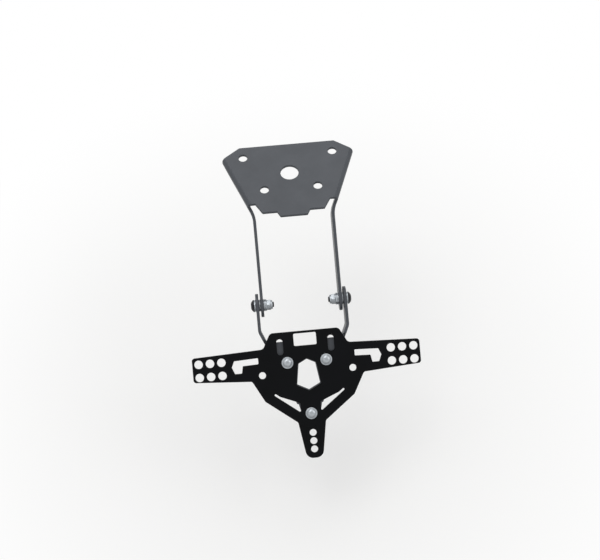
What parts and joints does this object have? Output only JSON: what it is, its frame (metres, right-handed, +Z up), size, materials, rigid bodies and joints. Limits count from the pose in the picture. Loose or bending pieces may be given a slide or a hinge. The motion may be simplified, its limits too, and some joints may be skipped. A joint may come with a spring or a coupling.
{
  "type": "motorcycle tail tidy",
  "caption": "Folded steel number plate bracket with two arms, a clamped tilt pivot and a flat carrier for the number plate and indicators",
  "frame": {"origin": "midway between the two front fixing holes, on the top face of the tail plate", "axes": "+Y to the front of the motorcycle, +Z up, +X to its right; the tail plate lies level and the arms drop to the rear"},
  "size_m": [0.229, 0.285, 0.1532],
  "materials": {
    "powder_coat": "satin",
    "carrier_coat": "satin",
    "zinc": "satin",
    "black_steel": "satin"
  },
  "bodies": {
    "upper": {"upper_bracket": "powder_coat", "pivot_bolt_left": "black_steel", "pivot_bolt_right": "black_steel", "head_washer_left": "zinc", "head_washer_right": "zinc", "pivot_spacer_left": "zinc", "pivot_spacer_right": "zinc", "arm_washer_left": "zinc", "arm_washer_right": "zinc", "nut_washer_left": "zinc", "nut_washer_right": "zinc", "pivot_nut_left": "zinc", "pivot_nut_right": "zinc"},
    "lower": {"lower_bracket": "powder_coat", "carrier_plate": "carrier_coat", "carrier_screw_left": "zinc", "carrier_screw_right": "zinc", "carrier_screw_lower": "zinc", "carrier_washer_left": "zinc", "carrier_washer_right": "zinc", "carrier_washer_lower": "zinc", "carrier_nut_left": "zinc", "carrier_nut_right": "zinc", "carrier_nut_lower": "zinc"}
  },
  "joints": [
    {"name": "carrier_tilt", "type": "hinge", "parent": "upper", "child": "lower", "pos_m": [0, -0.13394, -0.07366], "axis": [1, 0, 0], "range_deg": [-20, 55]}
  ]
}
